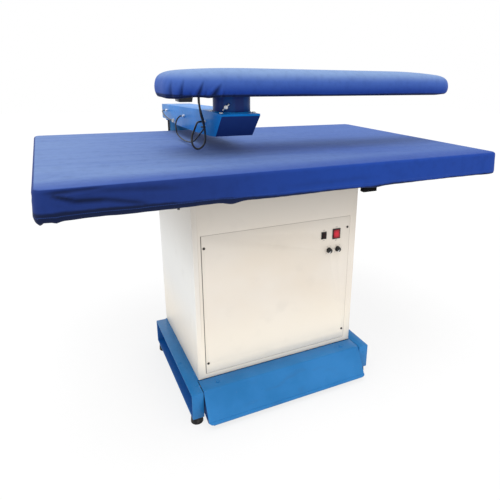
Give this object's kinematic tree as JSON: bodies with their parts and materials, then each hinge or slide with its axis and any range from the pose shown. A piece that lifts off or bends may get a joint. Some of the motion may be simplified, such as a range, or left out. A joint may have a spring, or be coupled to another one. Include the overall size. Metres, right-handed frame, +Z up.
{
  "type": "vacuum ironing table",
  "caption": "Vacuum ironing table: padded suction board on a cabinet with a suction blower and foot pedal, and a long padded buck that swivels on a swinging duct arm.",
  "frame": {"origin": "on the floor, under the middle of the whole object's footprint", "axes": "+X along the board towards the buck's slim tip, +Y to the back where the post stands, +Z up"},
  "size_m": [1.549, 1.106, 1.154],
  "materials": {
    "cloth": "woven cotton, matt",
    "blue": "gloss enamel",
    "cream": "satin powder coat",
    "black": "moulded, satin",
    "red": "moulded, glossy",
    "steel": "bare sheet",
    "zinc": "bright plated",
    "felt": "felted pad",
    "nylon": "plain nylon",
    "rubber": "matt",
    "copper": "dull tube",
    "grey_cable": "sheathed lead"
  },
  "bodies": {
    "root": {"base_cross_frame": "blue", "base_rail_left": "blue", "base_rail_right": "blue", "blower_housing": "steel", "blower_motor": "steel", "board_cover": "cloth", "board_heater": "copper", "board_pad": "felt", "board_plate": "steel", "board_tray": "steel", "cabinet_floor": "steel", "cabinet_shell": "cream", "control_box": "steel", "exhaust_duct": "steel", "feed_lead": "black", "foot_front_left": "rubber", "foot_front_right": "rubber", "foot_rear_left": "rubber", "foot_rear_right": "rubber", "foot_switch": "black", "front_panel": "cream", "mains_gland": "black", "panel_screw_1": "zinc", "panel_screw_2": "zinc", "panel_screw_3": "zinc", "panel_screw_4": "zinc", "pedal_spring": "zinc", "post_bush": "nylon", "power_switch_bezel": "black", "rear_support": "blue", "small_switch_bezel": "black", "suction_duct": "steel", "thermostat_box": "black"},
    "impeller_set": {"impeller": "steel", "motor_shaft": "zinc"},
    "pedal": {"pedal_plate": "blue", "pedal_frame": "blue", "pedal_bolt_left": "zinc", "pedal_bolt_right": "zinc"},
    "switch_plunger": {"foot_switch_plunger": "red"},
    "power_rocker_body": {"power_rocker": "red"},
    "small_rocker_body": {"small_rocker": "black"},
    "left_knob": {"knob_left": "black"},
    "right_knob": {"knob_right": "black"},
    "swing_arm": {"arm_duct": "blue", "arm_gland_1": "zinc", "arm_gland_2": "zinc", "arm_gland_3": "zinc", "heater_lead": "black", "sensor_lead": "black", "short_lead": "grey_cable", "lead_clip": "nylon"},
    "buck": {"buck_socket": "blue", "buck_tray": "steel", "buck_hot_plate": "steel", "buck_pad": "felt", "buck_cover": "cloth", "buck_terminal_box": "black", "buck_gland": "black"},
    "hand_screw": {"clamp_lever": "zinc"}
  },
  "joints": [
    {"name": "arm_swing", "type": "hinge", "parent": "root", "child": "swing_arm", "pos_m": [-0.1625, 0.503, 0.9278], "axis": [0, 0, 1], "range_deg": [-90, 90]},
    {"name": "buck_swivel", "type": "hinge", "parent": "swing_arm", "child": "buck", "pos_m": [-0.1625, -0.203, 1.0173], "axis": [0, 0, 1], "range_deg": [-90, 90]},
    {"name": "hand_screw_turn", "type": "hinge", "parent": "buck", "child": "hand_screw", "pos_m": [-0.19709, -0.25239, 1.033], "axis": [-0.5736, -0.8192, 0], "range_deg": [-40, 40]},
    {"name": "pedal_press", "type": "hinge", "parent": "root", "child": "pedal", "pos_m": [-0.0545, 0.057, 0.066], "axis": [1, 0, 0], "range_deg": [0, 1], "stiffness_Nm_per_rad": 260, "springref_deg": -14.32},
    {"name": "plunger_travel", "type": "slide", "parent": "root", "child": "switch_plunger", "axis": [0, 0, -1], "range_m": [0, 0.0029], "stiffness_N_per_m": 60, "springref_m": -0.004},
    {"name": "impeller_spin", "type": "hinge", "parent": "root", "child": "impeller_set", "pos_m": [-0.0545, -0.133, 0.386], "axis": [0, 0, 1], "continuous": true},
    {"name": "power_rocker_tilt", "type": "hinge", "parent": "root", "child": "power_rocker_body", "pos_m": [0.171, -0.3721, 0.5865], "axis": [1, 0, 0], "range_deg": [0, 16]},
    {"name": "small_rocker_tilt", "type": "hinge", "parent": "root", "child": "small_rocker_body", "pos_m": [0.118, -0.3721, 0.5865], "axis": [1, 0, 0], "range_deg": [0, 16]},
    {"name": "left_knob_turn", "type": "hinge", "parent": "root", "child": "left_knob", "pos_m": [0.1425, -0.3708, 0.526], "axis": [0, -1, 0], "range_deg": [-270, 0]},
    {"name": "right_knob_turn", "type": "hinge", "parent": "root", "child": "right_knob", "pos_m": [0.1795, -0.3708, 0.526], "axis": [0, -1, 0], "range_deg": [-270, 0]}
  ],
  "couplings": [
    {"joint": "plunger_travel", "follows": "pedal_press", "m_per_rad": 0.16}
  ]
}
